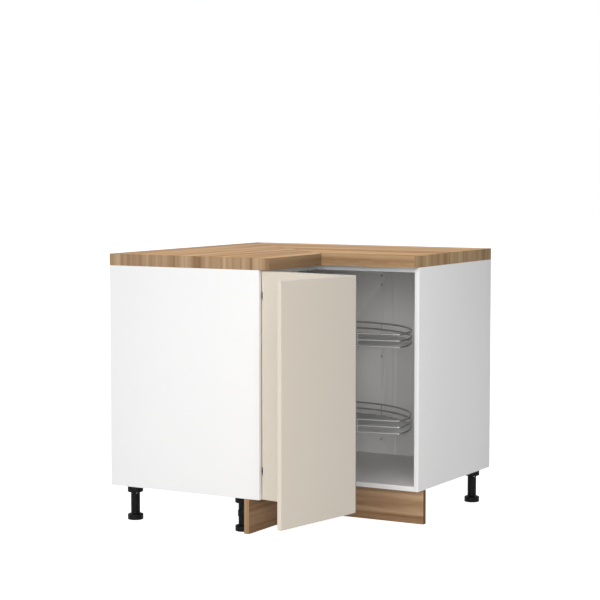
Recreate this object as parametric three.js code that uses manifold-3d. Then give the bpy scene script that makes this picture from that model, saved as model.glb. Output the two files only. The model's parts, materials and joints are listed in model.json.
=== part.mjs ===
// Corner carousel base cabinet: an L-shaped carcass on adjustable legs, a mitred worktop, a folding corner door
// and two three-quarter wire baskets that turn on one pole. Millimetres, +Z up.
// The cabinet is drawn with the wall corner at x = 0, y = 0 and the floor at z = 0: one wing runs along the
// left wall (towards -y), the other along the back wall (towards +x), and the notch for the door opens between.

import * as THREE from 'three';
import { mergeVertices } from 'three/addons/utils/BufferGeometryUtils.js';
import loadManifold from 'manifold-3d';

const wasm = await loadManifold();
wasm.setup();

// ---------- driving sizes ----------

const wingLength = 935; // wall corner to the outer face of either end panel
const worktopDepth = 600;
const worktopThickness = 38;
const worktopOverhang = 36; // worktop past the carcass front
const carcassHeight = 720;
const legHeight = 112;
const boardThickness = 16;
const seatGap = 0.3; // between pieces that rest on each other across a turned or round seat
const cutPast = 1; // how far a cutter runs past the face it opens

const railWidth = 100;
const beamWidth = 100;

const backThickness = 3;
const backSetback = 10; // groove from the wall side of the boards
const grooveClearance = 0.2; // each side of a back board in its groove
const grooveDepth = 8;
const backEntry = 7.5; // how far a back board goes into a groove
const cornerPostWidth = 40;
const joinerSetback = 571; // H-section joiner from the wall corner
const joinerWidth = 16;
const joinerWall = 1;
const joinerWeb = 1.2;
const fixingHoleRadius = 4;
const fixingHoleSetback = 521;
const fixingHoleRises = [52, 348, 604, 636]; // above the bottom panel

const plinthThickness = 18;
const plinthSetback = 38; // behind the carcass front
const plinthFloorGap = 0.5;
const bracketLeg = 40;
const bracketWall = 3;
const bracketHeight = 40;

const legInset = 72; // leg axis from the wall side
const legEndInset = { back: 34, front: 45 }; // leg axis from the outer face of an end panel
const legPlinthGap = 30; // leg axis behind the plinth
const legFlangeRadius = 25.5;
const legFlangeHeight = 20;
const legFlangeTaper = 4; // cone under the flange
const legColumnRadius = 15;
const legStemRadius = 10;
const legStemClearance = 0.4;
const legStemReach = 50; // stem inside the column
const legBoreSpare = 4; // bore above the stem
const soleRadius = 25.5;
const soleHeight = 18;
const soleTaper = 3;
const soleCollarHeight = 6;
const clipHeight = 20;
const clipWall = 3;
const clipPad = 34;
const clipNeck = 9;
const clipMouth = 1.4; // half the mouth's spread to the ring's radius
const clipLevel = 48;
const legFacets = 12; // round a leg, its foot and its clip

const poleBehindRail = 14; // pole axis behind the front rails
const poleRadius = 12.5;
const poleWall = 1.5;
const poleClearance = 0.4;
const bearingFlangeRadius = 40;
const bearingFlangeHeight = 4;
const bearingCone = 2; // rise of the flange up to the cup
const bearingCupWall = 5;
const bearingCupHeight = 22;

const basketRadius = 361; // centre line of the curved rim
const basketNotch = 52; // straight rim edges from the pole axis
const basketRimRise = 21; // from one rim wire to the next
const basketRises = { lower: 148, upper: 433 }; // floor ring above the bottom panel
const basketTurn = 8.5; // degrees from square with the walls
const basketCornerRadius = 9;
const rimWire = 6;
const spokeWire = 4;
const floorWire = 3;
const floorWirePitch = 22;
const weldDepth = 0.7;
const spokeAngles = [12, 50, 90, 130, 168, 205, 240]; // moved on to the nearest space between floor wires
const edgeSpokeRow = 9.5; // floor wires from the pole axis to the spoke of a straight edge
const hubRadius = 20;
const hubFlangeRadius = 32;
const hubFlangeHeight = 3;
const hubHeight = 44;
const hubPlateRadius = 55;
const hubPlateHeight = 3;
const collarWall = 8;
const collarHeight = 12;
const collarBoss = 5; // screw boss past the collar

const leafThickness = 16;
const leafGap = 2.5; // between the carcass front and a closed leaf
const leafEndReveal = 12; // end panel edge left uncovered by a closed leaf
const leafTopReveal = 3;
const doorAngle = 99.4; // degrees open in the pose shown

const cupRadius = 17.5;
const cupDepth = 11.5;
const cupWall = 1;
const cupEdge = 22; // cup centre from the leaf's end
const cupClearance = 0.25;
const flangeWall = 1;
const flangeRim = 1.5;
const earSpread = 24; // screw ears above and below the cup centre
const earOffset = 9.5;
const earRadius = 6;
const pivotDepth = 10; // hinge axis from the leaf's inner face
const pivotInset = 6.8; // hinge axis from the leaf's end
const pinRadius = 1.2;
const pinClearance = 0.15;
const bossRadius = 2.75;
const armWall = 2;
const armHeight = 15;
const armReach = 58; // arm back from the carcass front
const armLift = 10; // underside of the arm above the end panel
const armKnee = 2; // knee of the arm behind the carcass front
const cheekWall = 1.2;
const cheekClearance = 0.4;
const cheekMargin = 1.4; // cheek past the pin
const plateLine = 37; // screw line of the mounting plate behind the carcass front
const plateSpread = 26;
const plateArm = 12;
const plateWall = 2;
const plateLength = 50;
const plateHoleSpread = 16;
const plateScrewRadius = 3.5;
const spineStep = 1; // spine in from the arm's edges
const screwRise = 1.5; // screw heads above the metal they hold
const hingeInsets = { upper: 77, lower: 90 }; // hinge from the leaf's top and bottom

const knuckleRadius = 2.5;
const knuckleCount = 9;
const knuckleGap = 0.4;
const foldPinRadius = 1.05;
const foldPinClearance = 0.2;
const foldPlate = 0.8;
const foldPlateReach = 15.5;
const foldPlateGap = 0.15; // strip to leaf, and strip to the fold's middle plane
const foldInset = 3.1; // fold axis from both inner faces
const foldEase = 0.2; // off the rebate's full width
const foldEndMargin = 12; // hinge short of the leaf's top and bottom

// ---------- places worked out from them ----------

const carcassDepth = worktopDepth - worktopOverhang;
const carcassTop = legHeight + carcassHeight;
const shelfTop = legHeight + boardThickness;
const railUnderside = carcassTop - boardThickness;
const innerEnd = wingLength - boardThickness;
const poleSetback = carcassDepth - railWidth - poleBehindRail; // from both walls
const backNear = backSetback + grooveClearance; // wall side of a back board
const backFar = backNear + backThickness;
const grooveFar = backFar + grooveClearance;
const plinthFront = carcassDepth - plinthSetback;
const plinthBack = plinthFront - plinthThickness;
const legFront = plinthBack - legPlinthGap;
const soleTop = soleHeight + soleTaper;
const collarTop = soleTop + soleCollarHeight;

const leafInner = carcassDepth + leafGap;
const leafOuter = leafInner + leafThickness;
const leafEnd = wingLength - leafEndReveal;
const leafBottom = legHeight;
const leafTop = carcassTop - leafTopReveal;
const hingeHeights = { upper: leafTop - hingeInsets.upper, lower: leafBottom + hingeInsets.lower };
const hingeAxis = new THREE.Vector2(leafInner + pivotDepth, -(leafEnd - pivotInset));
const foldAxis = new THREE.Vector2(leafInner + foldInset, -(leafInner + foldInset));

// The free corner of the opened door reaches furthest from the wall.
const doorTurn = THREE.MathUtils.degToRad(-doorAngle);
const freeCorner = new THREE.Vector2(leafEnd, -leafInner).rotateAround(hingeAxis, doorTurn);
const origin = new THREE.Vector3(wingLength / 2, freeCorner.y / 2, 0);

// ---------- finishes ----------

const finish = (color, roughness, metalness = 0) =>
  new THREE.MeshStandardMaterial({ color, roughness, metalness });
const whiteBoard = finish(0xf3f3f3, 0.5);
const greyBoard = finish(0xc9c9c8, 0.55);
const oakLaminate = finish(0xbf9c74, 0.5);
const leafLacquer = finish(0xd8cdbd, 0.45);
const brightWire = finish(0xb9bbbd, 0.25, 0.9);
const hingeSteel = finish(0xa9abad, 0.35, 0.9);
const blackPlastic = finish(0x151515, 0.5);
const greyPlastic = finish(0x9a9b9c, 0.5);

// ---------- shaping ----------

/** Turns a closed three.js geometry into a solid that can be joined and cut. */
function toSolid(geometry) {
  const bare = geometry.clone();
  bare.deleteAttribute('normal');
  bare.deleteAttribute('uv');
  const merged = mergeVertices(bare, 1e-4);
  const corners = merged.index.array;
  const kept = [];
  for (let i = 0; i < corners.length; i += 3) {
    const [a, b, c] = corners.subarray(i, i + 3);
    if (a !== b && b !== c && c !== a) kept.push(a, b, c);
  }
  const vertProperties = new Float32Array(merged.attributes.position.array);
  return new wasm.Manifold(new wasm.Mesh({ numProp: 3, vertProperties, triVerts: Uint32Array.from(kept) }));
}

function toGeometry(solid) {
  const { vertProperties, triVerts } = solid.getMesh();
  const geometry = new THREE.BufferGeometry();
  geometry.setAttribute('position', new THREE.BufferAttribute(vertProperties, 3));
  geometry.setIndex(new THREE.BufferAttribute(triVerts, 1));
  geometry.computeVertexNormals();
  return geometry;
}

const join = (...shapes) => toGeometry(shapes.map(toSolid).reduce((whole, next) => whole.add(next)));
const cut = (shape, ...tools) =>
  toGeometry(tools.map(toSolid).reduce((rest, tool) => rest.subtract(tool), toSolid(shape)));

/** A box between two limits on each axis. */
function block([x0, x1], [y0, y1], [z0, z1]) {
  const box = new THREE.BoxGeometry(x1 - x0, y1 - y0, z1 - z0);
  return box.translate((x0 + x1) / 2, (y0 + y1) / 2, (z0 + z1) / 2);
}

/** An upright prism over an outline in plan. */
function prism(outline, z0, z1) {
  const shape = new THREE.Shape(outline.map(([x, y]) => new THREE.Vector2(x, y)));
  return new THREE.ExtrudeGeometry(shape, { depth: z1 - z0, bevelEnabled: false }).translate(0, 0, z0);
}

/** A body turned about the Z axis from a closed profile of [radius, height] points. */
function turned(profile, facets = 16) {
  const points = [...profile, profile[0]].map(([r, z]) => new THREE.Vector2(r, z));
  return new THREE.LatheGeometry(points, facets).rotateX(Math.PI / 2);
}

/** A disc about the Z axis, or a ring where the inner radius is above nought. */
const ring = (inner, outer, [z0, z1], facets) =>
  turned([[inner, z0], [outer, z0], [outer, z1], [inner, z1]], facets);

/** A round bar between two points. */
function bar(from, to, radius, sides = 8) {
  const start = new THREE.Vector3(...from);
  const along = new THREE.Vector3(...to).sub(start);
  const shape = new THREE.CylinderGeometry(radius, radius, along.length(), sides);
  shape.translate(0, along.length() / 2, 0);
  shape.applyQuaternion(new THREE.Quaternion().setFromUnitVectors(THREE.Object3D.DEFAULT_UP, along.normalize()));
  return shape.translate(start.x, start.y, start.z);
}

/** A closed level loop that runs straight from each of its stations to the next. */
class LevelLoop extends THREE.Curve {
  constructor(stations, level) {
    super();
    Object.assign(this, { stations, level });
  }

  getPoint(t) {
    const count = this.stations.length;
    const step = Math.min(Math.floor(t * count), count - 1);
    const [from, to] = [this.stations[step], this.stations[(step + 1) % count]];
    const [x, y] = from.map((v, i) => THREE.MathUtils.lerp(v, to[i], t * count - step));
    return new THREE.Vector3(x, y, this.level);
  }

  getPointAt(t) {
    return this.getPoint(t);
  }

  getTangentAt(t) {
    return this.getTangent(t);
  }
}

/** Wire of a given radius bent into a closed level loop, which starts midway along a straight. */
function wireLoop(stations, level, radius, sides = 6) {
  const corner = (i) => (2 * Math.PI * i) / sides;
  const section = Array.from({ length: sides }, (_, i) =>
    new THREE.Vector2(radius * Math.cos(corner(i)), radius * Math.sin(corner(i))));
  const extrudePath = new LevelLoop(stations, level);
  const swept = new THREE.ExtrudeGeometry(new THREE.Shape(section), { steps: stations.length, extrudePath });
  const skin = swept.groups.find((group) => group.materialIndex === 1); // without the two ends, which meet
  const skinPoints = swept.attributes.position.array.slice(3 * skin.start, 3 * (skin.start + skin.count));
  return new THREE.BufferGeometry().setAttribute('position', new THREE.BufferAttribute(skinPoints, 3));
}

function piece(name, geometry, material) {
  const mesh = new THREE.Mesh(geometry, material);
  mesh.name = name;
  return mesh;
}

/** Swaps the two wings: the mirror image across the diagonal through the wall corner. */
const acrossDiagonal = ([x, y]) => [-y, -x];

// ---------- carcass ----------

function endPanels() {
  const height = [legHeight, carcassTop];
  const groove = [innerEnd - cutPast, innerEnd + grooveDepth];
  const through = [legHeight - cutPast, carcassTop + cutPast];
  const setback = [backSetback, grooveFar];
  const left = block([0, carcassDepth], [-wingLength, -innerEnd], height);
  const right = block([innerEnd, wingLength], [-carcassDepth, 0], height);
  const leftGroove = block(setback, groove.map((v) => -v).reverse(), through);
  const rightGroove = block(groove, setback.map((v) => -v).reverse(), through);
  return [
    piece('end_panel_left', cut(left, leftGroove), whiteBoard),
    piece('end_panel_right', cut(right, rightGroove), whiteBoard),
  ];
}

/** Grooves for the back boards along both walls, cut into a face at the given heights. */
function backGrooves(z0, z1) {
  const along = [-cutPast, innerEnd + cutPast];
  const across = [backSetback, grooveFar];
  return [
    block(across, along.map((v) => -v).reverse(), [z0, z1]),
    block(along, across.map((v) => -v).reverse(), [z0, z1]),
  ];
}

function bottomPanel() {
  const outline = [
    [0, 0],
    [0, -innerEnd],
    [carcassDepth, -innerEnd],
    [carcassDepth, -carcassDepth],
    [innerEnd, -carcassDepth],
    [innerEnd, 0],
  ];
  const board = prism(outline, legHeight, shelfTop);
  return piece('bottom_panel', cut(board, ...backGrooves(shelfTop - grooveDepth, shelfTop + cutPast)), greyBoard);
}

function topRails() {
  const level = [railUnderside, carcassTop];
  const front = carcassDepth - railWidth;
  const grooves = backGrooves(railUnderside - cutPast, railUnderside + grooveDepth);
  const beam = [poleSetback - beamWidth / 2, poleSetback + beamWidth / 2];
  return [
    piece('front_rail_left', block([front, carcassDepth], [-innerEnd, -carcassDepth], level), whiteBoard),
    piece('front_rail_right', block([front, innerEnd], [-carcassDepth, -front], level), whiteBoard),
    piece('back_rail_left', cut(block([0, railWidth], [-innerEnd, -railWidth], level), ...grooves), greyBoard),
    piece('back_rail_right', cut(block([0, innerEnd], [-railWidth, 0], level), ...grooves), greyBoard),
    piece('pole_beam', block(beam, [-front, -railWidth], level), greyBoard),
  ];
}

/** The thin back boards, the joiners between them and the post in the wall corner. */
function back() {
  const level = [shelfTop - backEntry, railUnderside + backEntry];
  const faces = [-backFar, -backNear];
  const webHalf = joinerWeb / 2 + grooveClearance;
  const cornerRun = [grooveFar, joinerSetback - webHalf];
  const endRun = [joinerSetback + webHalf, innerEnd + backEntry];
  const holes = fixingHoleRises.map((rise) => {
    const centre = (y) => [fixingHoleSetback, y, shelfTop + rise];
    return bar(centre(-backFar - cutPast), centre(-backNear + cutPast), fixingHoleRadius, 12);
  });

  const leftFaces = [backNear, backFar];
  const leftCorner = block(leftFaces, [-cornerRun[1], -backNear], level);
  const leftEnd = block(leftFaces, [-endRun[1], -endRun[0]], level);

  const halfWidth = joinerWidth / 2;
  const lip = [backSetback - joinerWall, grooveFar + joinerWall];
  const halfWeb = joinerWeb / 2;
  const section = [
    [joinerSetback - halfWidth, -lip[0]],
    [joinerSetback - halfWidth, -backSetback],
    [joinerSetback - halfWeb, -backSetback],
    [joinerSetback - halfWeb, -grooveFar],
    [joinerSetback - halfWidth, -grooveFar],
    [joinerSetback - halfWidth, -lip[1]],
    [joinerSetback + halfWidth, -lip[1]],
    [joinerSetback + halfWidth, -grooveFar],
    [joinerSetback + halfWeb, -grooveFar],
    [joinerSetback + halfWeb, -backSetback],
    [joinerSetback + halfWidth, -backSetback],
    [joinerSetback + halfWidth, -lip[0]],
  ];
  const post = [grooveFar, grooveFar + cornerPostWidth];
  const inside = [shelfTop, railUnderside];
  return [
    piece('back_board_right_corner', cut(block(cornerRun, faces, level), ...holes), greyBoard),
    piece('back_board_right_end', block(endRun, faces, level), greyBoard),
    piece('back_board_left_corner', leftCorner, greyBoard),
    piece('back_board_left_end', leftEnd, greyBoard),
    piece('back_joiner_right', prism(section, ...inside), greyPlastic),
    piece('back_joiner_left', prism(section.map(acrossDiagonal), ...inside), greyPlastic),
    piece('corner_post', block(post, post.map((v) => -v).reverse(), inside), greyBoard),
  ];
}

/** Two boards mitred along the diagonal from the wall corner to the notch. */
function worktop() {
  const level = [carcassTop, carcassTop + worktopThickness];
  const right = [
    [0, 0],
    [worktopDepth, -worktopDepth],
    [wingLength, -worktopDepth],
    [wingLength, 0],
  ];
  return [
    piece('worktop_right', prism(right, ...level), oakLaminate),
    piece('worktop_left', prism(right.map(acrossDiagonal), ...level), oakLaminate),
  ];
}

// ---------- legs and plinth ----------

const farBack = wingLength - legEndInset.back;
const farFront = wingLength - legEndInset.front;
const legPlaces = {
  left_end_back: [legInset, -farBack],
  left_end_front: [legFront, -farFront],
  notch: [legFront, -legFront],
  wall_corner: [legInset, -legInset],
  right_end_front: [farFront, -legFront],
  right_end_back: [farBack, -legInset],
};

function legSocket() {
  const boreRadius = legStemRadius + legStemClearance;
  const boreTop = collarTop + legStemReach + legBoreSpare;
  const flangeFoot = legHeight - legFlangeHeight;
  return turned([
    [boreRadius, collarTop + seatGap],
    [legColumnRadius, collarTop + seatGap],
    [legColumnRadius, flangeFoot - legFlangeTaper],
    [legFlangeRadius, flangeFoot],
    [legFlangeRadius, legHeight],
    [0, legHeight],
    [0, boreTop],
    [boreRadius, boreTop],
  ], legFacets);
}

function legSole() {
  return turned([
    [0, 0],
    [soleRadius, 0],
    [soleRadius, soleHeight],
    [legColumnRadius, soleTop],
    [legColumnRadius, collarTop],
    [legStemRadius, collarTop],
    [legStemRadius, collarTop + legStemReach],
    [0, collarTop + legStemReach],
  ], legFacets);
}

function legs() {
  return Object.entries(legPlaces).map(([place, [x, y]]) => {
    const leg = new THREE.Group();
    leg.position.set(x, y, 0);
    leg.add(piece(`leg_${place}`, legSocket(), blackPlastic));
    leg.add(piece(`leg_${place}_foot`, legSole(), blackPlastic));
    return leg;
  });
}

function plinth() {
  const level = [plinthFloorGap, legHeight - seatGap];
  const across = [plinthBack, plinthFront];
  const left = block(across, [-wingLength, -plinthBack], level);
  const right = block([plinthFront, wingLength], across.map((v) => -v).reverse(), level);
  const inner = plinthBack - bracketWall;
  const bracket = [
    [inner, -plinthBack - bracketLeg],
    [plinthBack, -plinthBack - bracketLeg],
    [plinthBack, -plinthBack],
    [plinthFront + bracketLeg, -plinthBack],
    [plinthFront + bracketLeg, -inner],
    [inner, -inner],
  ];
  const middle = legHeight / 2;
  const bracketLevel = [middle - bracketHeight / 2, middle + bracketHeight / 2];
  return [
    piece('plinth_left', left, oakLaminate),
    piece('plinth_right', right, oakLaminate),
    piece('plinth_corner_bracket', prism(bracket, ...bracketLevel), hingeSteel),
  ];
}

/** A spring ring round a leg's column with a pad on the back of the plinth, drawn towards +x. */
function plinthClip() {
  const grip = legColumnRadius + seatGap;
  const outer = grip + clipWall;
  const reach = plinthBack - legFront - seatGap;
  const level = [clipLevel, clipLevel + clipHeight];
  const spring = ring(grip, outer, level, legFacets);
  const mouthHalf = outer * clipMouth;
  const mouth = [[-grip / 2, 0], [-2 * outer, -mouthHalf], [-2 * outer, mouthHalf]];
  const opener = prism(mouth, level[0] - cutPast, level[1] + cutPast);
  const neck = block([outer - clipWall / 2, reach - clipWall / 2], [-clipNeck / 2, clipNeck / 2], level);
  const pad = block([reach - clipWall, reach], [-clipPad / 2, clipPad / 2], level);
  return join(cut(spring, opener), neck, pad);
}

function plinthClips() {
  const left = piece('plinth_clip_left', plinthClip(), blackPlastic);
  left.position.set(...legPlaces.left_end_front, 0);
  const right = piece('plinth_clip_right', plinthClip(), blackPlastic);
  right.position.set(...legPlaces.right_end_front, 0);
  right.rotation.z = -Math.PI / 2;
  return [left, right];
}

// ---------- carousel ----------

/** The pole's floor bearing: a screw-down flange with a cup that the tube stands in. */
function bearing() {
  const cup = poleRadius + seatGap;
  return turned([
    [0, 0],
    [bearingFlangeRadius, 0],
    [bearingFlangeRadius, bearingFlangeHeight],
    [cup + bearingCupWall, bearingFlangeHeight + bearingCone],
    [cup + bearingCupWall, bearingCupHeight],
    [cup, bearingCupHeight],
    [cup, bearingFlangeHeight],
    [0, bearingFlangeHeight],
  ]);
}

function pole() {
  const foot = shelfTop + bearingFlangeHeight + seatGap;
  const head = railUnderside - bearingFlangeHeight - seatGap;
  const bore = poleRadius - poleWall;
  const tube = ring(bore, poleRadius, [foot, head]);
  const floorBearing = piece('pole_bearing_floor', bearing(), greyPlastic);
  floorBearing.position.z = shelfTop;
  const topBearing = piece('pole_bearing_top', bearing().rotateX(Math.PI), greyPlastic);
  topBearing.position.z = railUnderside;
  return [piece('pole', tube, brightWire), floorBearing, topBearing];
}

/** Points along an arc in plan, both ends included. */
function arcStations([x, y], radius, from, to, steps) {
  const angleAt = (i) => from + ((to - from) * i) / steps;
  return Array.from({ length: steps + 1 }, (_, i) => [
    x + radius * Math.cos(angleAt(i)),
    y + radius * Math.sin(angleAt(i)),
  ]);
}

/** One rim wire: the long arc, the two straight edges of the notch and the bends between them. */
function rimLoop(level) {
  // A bend's centre keeps its radius from both the straight edge and the arc.
  const bend = basketCornerRadius;
  const bendY = bend - basketNotch;
  const bendX = Math.sqrt((basketRadius - bend) ** 2 - bendY ** 2);
  const arcStart = Math.atan2(bendY, bendX);
  const arcEnd = 1.5 * Math.PI - arcStart;
  const inner = basketNotch + bend;

  const outerBend = arcStations([bendX, bendY], bend, -Math.PI / 2, arcStart, 3);
  const arc = arcStations([0, 0], basketRadius, arcStart, arcEnd, 28).slice(1, -1);
  const farBend = outerBend.map(acrossDiagonal).reverse();
  const innerBend = arcStations([inner, -inner], bend, Math.PI, Math.PI / 2, 3);
  const start = [(inner + bendX) / 2, -basketNotch];
  return wireLoop([start, ...outerBend, ...arc, ...farBend, ...innerBend], level, rimWire / 2);
}

const diagonalMirror = new THREE.Matrix4().set(0, -1, 0, 0, -1, 0, 0, 0, 0, 0, 1, 0, 0, 0, 0, 1);

/** A mirrored shape has its faces turned inwards: this turns them out again. */
function flipFaces(geometry) {
  const { array } = geometry.index ?? { array: geometry.attributes.position.array };
  const step = geometry.index ? 1 : 3;
  for (let i = 0; i < array.length; i += 3 * step) {
    for (let k = 0; k < step; k += 1) {
      [array[i + k], array[i + 2 * step + k]] = [array[i + 2 * step + k], array[i + k]];
    }
  }
}

/** Two rim wires over the floor ring, with upright spokes between them. */
function basketRim() {
  const top = 2 * basketRimRise;
  const foot = rimWire / 2 + seatGap;
  const wire = spokeWire / 2;
  const inArc = spokeAngles.map((degrees) => {
    const angle = THREE.MathUtils.degToRad(degrees);
    const row = Math.floor((basketRadius * Math.sin(angle)) / floorWirePitch) + 0.5;
    const y = THREE.MathUtils.clamp(row * floorWirePitch, -basketRadius, basketRadius);
    return [Math.sign(Math.cos(angle)) * Math.sqrt(basketRadius ** 2 - y ** 2), y];
  });
  const onEdge = [edgeSpokeRow * floorWirePitch, -basketNotch];
  const places = [...inArc, onEdge, acrossDiagonal(onEdge)];
  const spokes = places.map(([x, y]) => bar([x, y, foot], [x, y, top], wire, 5));
  return join(rimLoop(top), rimLoop(basketRimRise), ...spokes);
}

/** The floor ring with its close-set wires and the plate that takes the hub. */
function basketFloor() {
  const wire = floorWire / 2;
  const level = rimWire / 2 + wire - weldDepth;
  const wires = [];
  const count = Math.floor((basketRadius - rimWire) / floorWirePitch);
  for (let i = -count; i <= count; i += 1) {
    const y = i * floorWirePitch;
    const half = Math.sqrt(basketRadius ** 2 - y ** 2);
    const end = y < -basketNotch ? basketNotch : half;
    wires.push(bar([-half, y, level], [end, y, level], wire, 4));
  }
  const plateFoot = level - wire;
  const plateTop = plateFoot + hubPlateHeight;
  const plate = ring(0, hubPlateRadius, [plateFoot, plateTop], 36);
  const hole = ring(0, hubRadius + poleClearance, [plateFoot - cutPast, plateTop + cutPast]);
  return cut(join(rimLoop(0), ...wires, plate), hole);
}

/** The plastic sleeve that the basket turns on. */
function hub() {
  const bore = poleRadius + poleClearance;
  const seat = rimWire / 2 - weldDepth - seatGap;
  return turned([
    [bore, -hubHeight / 2],
    [hubRadius, -hubHeight / 2],
    [hubRadius, seat - hubFlangeHeight],
    [hubFlangeRadius, seat - hubFlangeHeight],
    [hubFlangeRadius, seat],
    [hubRadius, seat],
    [hubRadius, hubHeight / 2],
    [bore, hubHeight / 2],
  ]);
}

/** The clamped collar under a hub, with its screw boss. */
function collar() {
  const bore = poleRadius + seatGap;
  const top = -hubHeight / 2 - seatGap;
  const outer = bore + collarWall;
  const middle = top - collarHeight / 2;
  const boss = bar([outer - collarWall / 2, 0, middle], [outer + collarBoss, 0, middle], collarHeight / 3, 12);
  return join(ring(bore, outer, [top - collarHeight, top]), boss);
}

function carousel() {
  const axis = new THREE.Group();
  axis.position.set(poleSetback, -poleSetback, 0);
  axis.add(...pole());
  for (const [name, rise] of Object.entries(basketRises)) {
    const level = shelfTop + rise;
    const basket = new THREE.Group();
    basket.position.z = level;
    basket.rotation.z = THREE.MathUtils.degToRad(basketTurn);
    basket.add(piece(`basket_${name}_rim`, basketRim(), brightWire));
    basket.add(piece(`basket_${name}_floor`, basketFloor(), brightWire));
    basket.add(piece(`basket_${name}_hub`, hub(), greyPlastic));
    const stop = piece(`basket_${name}_collar`, collar(), hingeSteel);
    stop.position.z = level;
    axis.add(basket, stop);
  }
  return axis;
}

// ---------- door ----------

// Leaves are drawn closed. p runs along the right-hand leaf and q along the left-hand one, both from the
// corner where their inner faces meet.
const fromFold = ([p, q]) => [leafInner + p, -(leafInner + q)];
const swapLeaves = ([p, q]) => [q, p];

/** Plan of one leaf: a mitre with a rebate for the fold's knuckles. */
function leafOutline() {
  const rebate = 2 * foldInset - foldEase;
  const mitre = Math.SQRT2 * (2 * foldPlateGap + foldPlate);
  const length = leafEnd - leafInner;
  return [
    [0, rebate],
    [rebate - mitre, rebate],
    [leafThickness, leafThickness + mitre],
    [leafThickness, length],
    [0, length],
  ];
}

/** Room in the hinge leaf for a cup and for the arm that swings out through the leaf's end. */
function cupPocket(height) {
  const { x, y } = hingeAxis;
  const half = armHeight / 2 + cheekClearance + cheekWall + cupClearance;
  const cupCentre = y - pivotInset + cupEdge;
  const centre = (depth) => [leafInner + depth, cupCentre, height];
  const round = bar(centre(-cutPast), centre(cupDepth), cupRadius + cupClearance, 16);
  const channelFloor = x + bossRadius + cheekClearance;
  const channelRun = [y - pivotInset - cutPast, cupCentre];
  const channel = block([leafInner - cutPast, channelFloor], channelRun, [height - half, height + half]);
  return [round, channel];
}

/** The cup, its screw ears and the two cheeks that carry the pin, drawn about the hinge axis. */
function hingeCup() {
  const face = -pivotDepth;
  const centre = cupEdge - pivotInset;
  const floor = face + cupDepth - cupClearance;
  const slot = armHeight / 2 + cheekClearance;
  const inner = cupRadius - cupWall;
  const flange = [face - flangeWall, face - cupClearance / 2];
  const outerWall = bar([flange[0], centre, 0], [floor, centre, 0], cupRadius, 16);
  const rim = bar([flange[0], centre, 0], [flange[1], centre, 0], cupRadius + flangeRim, 16);
  const earHeights = [-earSpread, earSpread];
  const earLine = centre + earOffset;
  const ears = earHeights.map((z) => bar([flange[0], earLine, z], [flange[1], earLine, z], earRadius, 16));
  const bridge = block(flange, [earLine - earRadius, earLine + earRadius], earHeights);
  const open = flange[0] - cutPast;
  const hollow = bar([open, centre, 0], [floor - cupWall, centre, 0], inner, 16);
  const mouth = block([open, floor + cutPast], [-pivotInset - flangeRim - cutPast, centre], [-slot, slot]);
  const shell = cut(join(outerWall, rim, ...ears, bridge), hollow, mouth);

  const cheekEnd = pinRadius + cheekMargin;
  const cheekFrom = -pivotInset + cupClearance;
  const cheek = (z) => block([face + cupClearance, cheekEnd], [cheekFrom, centre - inner / 2],
    [Math.min(z, z + Math.sign(z) * cheekWall), Math.max(z, z + Math.sign(z) * cheekWall)]);
  const pinHalf = slot + cheekWall / 2;
  const pin = bar([0, 0, -pinHalf], [0, 0, pinHalf], pinRadius, 16);
  return join(shell, cheek(-slot), cheek(slot), pin);
}

/** The cranked arm from the hinge axis back to the mounting plate, drawn about the hinge axis. */
function hingeArm() {
  const half = armHeight / 2;
  const underside = -innerEnd + armLift - hingeAxis.y;
  const front = carcassDepth - hingeAxis.x;
  const middle = underside + armWall / 2;
  const knee = [front - armKnee, middle];
  const tail = [front - armReach, middle];
  const strip = (a, b, lap) => {
    const run = new THREE.Vector2(b[0] - a[0], b[1] - a[1]);
    const box = block([-lap, run.length() + lap], [-armWall / 2, armWall / 2], [-half, half]);
    return box.rotateZ(run.angle()).translate(a[0], a[1], 0);
  };
  const boss = ring(0, bossRadius, [-half, half], 20);
  const bore = ring(0, pinRadius + pinClearance, [-half - cutPast, half + cutPast], 20);
  const corner = bar([...knee, -half], [...knee, half], armWall / 2, 12);
  const screwPlace = front - plateLine;
  const screw = bar([screwPlace, middle, 0], [screwPlace, underside + armWall + screwRise, 0], half / 2, 16);
  return cut(join(strip([0, 0], knee, 0), strip(knee, tail, 0), boss, corner, screw), bore);
}

/** The cross-shaped plate screwed to the end panel under the arm, drawn about the hinge axis. */
function hingePlate() {
  const wall = -innerEnd - hingeAxis.y;
  const front = carcassDepth - hingeAxis.x;
  const line = front - plateLine;
  const halfSpine = armHeight / 2 - spineStep;
  const about = (length) => [line - length / 2, line + length / 2];
  const spine = block(about(plateLength), [wall, wall + armLift], [-halfSpine, halfSpine]);
  const wing = block(about(plateArm), [wall, wall + plateWall], [-plateSpread, plateSpread]);
  const head = wall + plateWall + screwRise;
  const screws = [-plateHoleSpread, plateHoleSpread].map((z) =>
    bar([line, wall + plateWall / 2, z], [line, head, z], plateScrewRadius, 12));
  return join(spine, wing, ...screws);
}

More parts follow.
